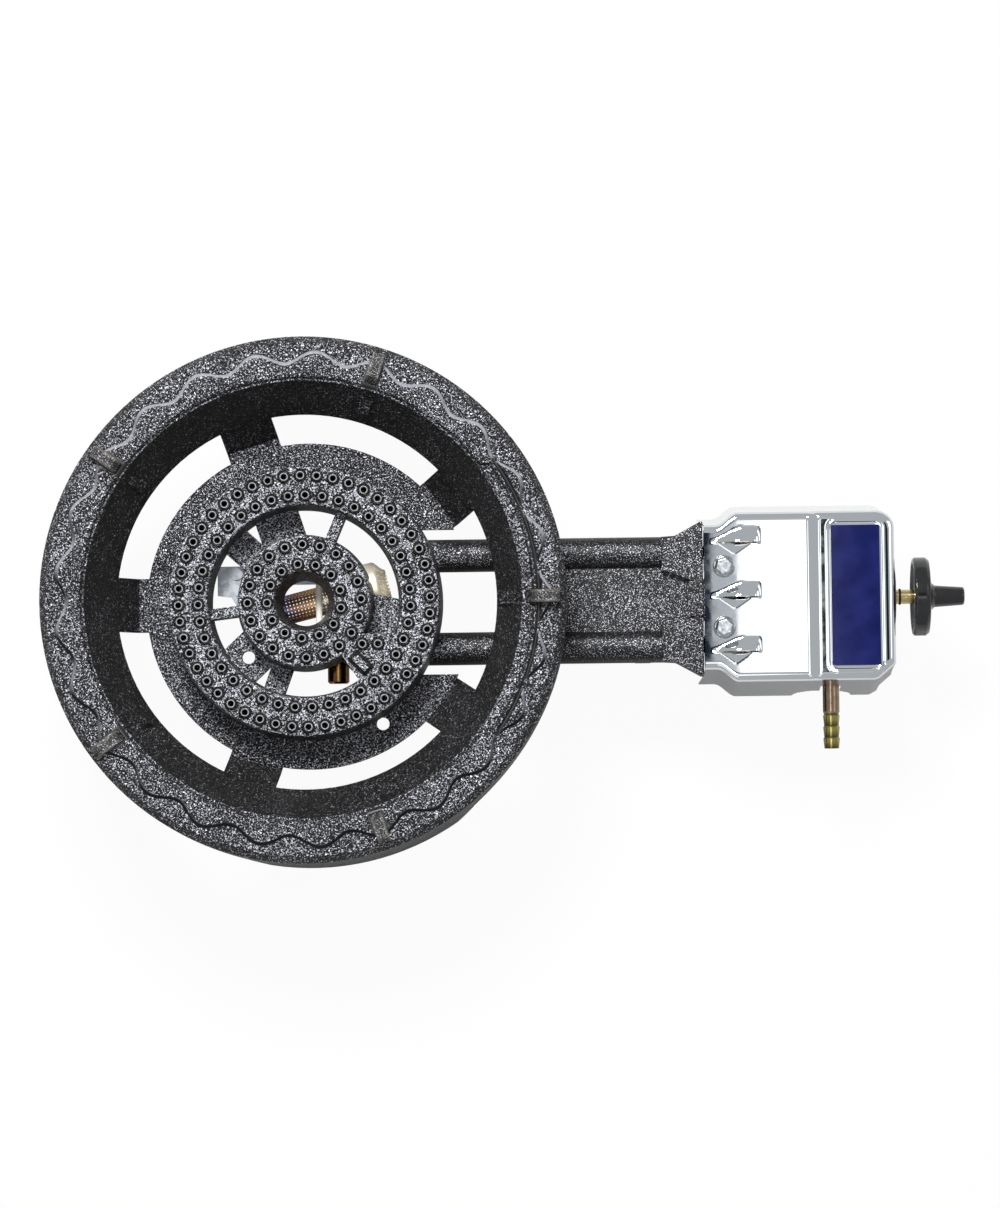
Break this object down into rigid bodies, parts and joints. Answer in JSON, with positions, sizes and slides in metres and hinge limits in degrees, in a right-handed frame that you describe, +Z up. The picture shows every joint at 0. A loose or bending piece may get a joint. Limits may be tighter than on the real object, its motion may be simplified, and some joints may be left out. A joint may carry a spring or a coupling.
{
  "type": "gas ring burner",
  "caption": "Cast-iron gas ring burner with a pot ring on legs, concentric ported burner rings, mixing tubes and a push-and-turn tap under a plated cover.",
  "frame": {"origin": "floor level, under the centre of the box around the part", "axes": "+X from the pot ring towards the knob, +Z up"},
  "size_m": [0.534, 0.305, 0.147],
  "materials": {
    "hammertone_paint": "silver-vein paint on cast iron",
    "chrome": "mirror plated",
    "brass": "turned",
    "zinc_steel": "zinc plated",
    "spring_steel": "drawn wire and strip",
    "tinted_steel": "heat tinted",
    "aluminium": "drawn pipe",
    "black_plastic": "moulded phenolic",
    "acetal": "moulded",
    "ceramic": "unglazed alumina",
    "rubber": "moulded",
    "blue_enamel": "plain enamel",
    "black_enamel": "plain enamel"
  },
  "bodies": {
    "frame": {"pot_ring_frame": "hammertone_paint", "burner_casting": "hammertone_paint", "chrome_cover": "chrome", "gas_valve_body": "brass", "outer_jet": "brass", "inner_jet": "brass", "hose_barb": "brass", "pilot_injector": "brass", "burner_bolts": "zinc_steel", "burner_washers": "zinc_steel", "valve_bracket": "zinc_steel", "bracket_bolts": "zinc_steel", "valve_mount_screws": "zinc_steel", "bonnet_screws": "zinc_steel", "igniter_plate": "zinc_steel", "cover_strap": "zinc_steel", "cover_bolts": "zinc_steel", "line_clips": "zinc_steel", "line_clip_screws": "zinc_steel", "pilot_bracket": "zinc_steel", "pilot_bracket_screw": "zinc_steel", "pilot_rivet": "zinc_steel", "valve_bonnet": "zinc_steel", "electrode_pin": "spring_steel", "pilot_burner": "tinted_steel", "pilot_tube": "aluminium", "igniter_housing": "black_plastic", "electrode_insulator": "ceramic", "ignition_lead": "rubber", "name_plate": "blue_enamel", "dial_plate": "black_enamel"},
    "plug": {"valve_plug": "brass"},
    "stem": {"valve_stem": "brass", "stem_spring": "spring_steel", "igniter_cam": "acetal", "stem_o_ring": "rubber", "knob": "black_plastic", "knob_clip": "spring_steel"},
    "plunger": {"igniter_plunger": "acetal"},
    "outer_shutter": {"outer_air_shutter": "zinc_steel"},
    "inner_shutter": {"inner_air_shutter": "zinc_steel"}
  },
  "joints": [
    {"name": "plug_turn", "type": "hinge", "parent": "frame", "child": "plug", "pos_m": [0.18845, 0, 0.082], "axis": [1, 0, 0], "range_deg": [0, 90]},
    {"name": "knob_push", "type": "slide", "parent": "plug", "child": "stem", "axis": [-1, 0, 0], "range_m": [0, 0.003], "stiffness_N_per_m": 1500, "deforming": ["stem_spring"]},
    {"name": "igniter_plunge", "type": "slide", "parent": "frame", "child": "plunger", "axis": [0, 1, 0], "range_m": [0, 0.0061]},
    {"name": "outer_shutter_turn", "type": "hinge", "parent": "frame", "child": "outer_shutter", "pos_m": [0.1172, 0.027, 0.082], "axis": [1, 0, 0], "range_deg": [-10, 35]},
    {"name": "inner_shutter_turn", "type": "hinge", "parent": "frame", "child": "inner_shutter", "pos_m": [0.1172, -0.027, 0.082], "axis": [1, 0, 0], "range_deg": [-35, 10]}
  ],
  "couplings": [
    {"joint": "igniter_plunge", "follows": "plug_turn", "m_per_rad": 0.0038197}
  ]
}
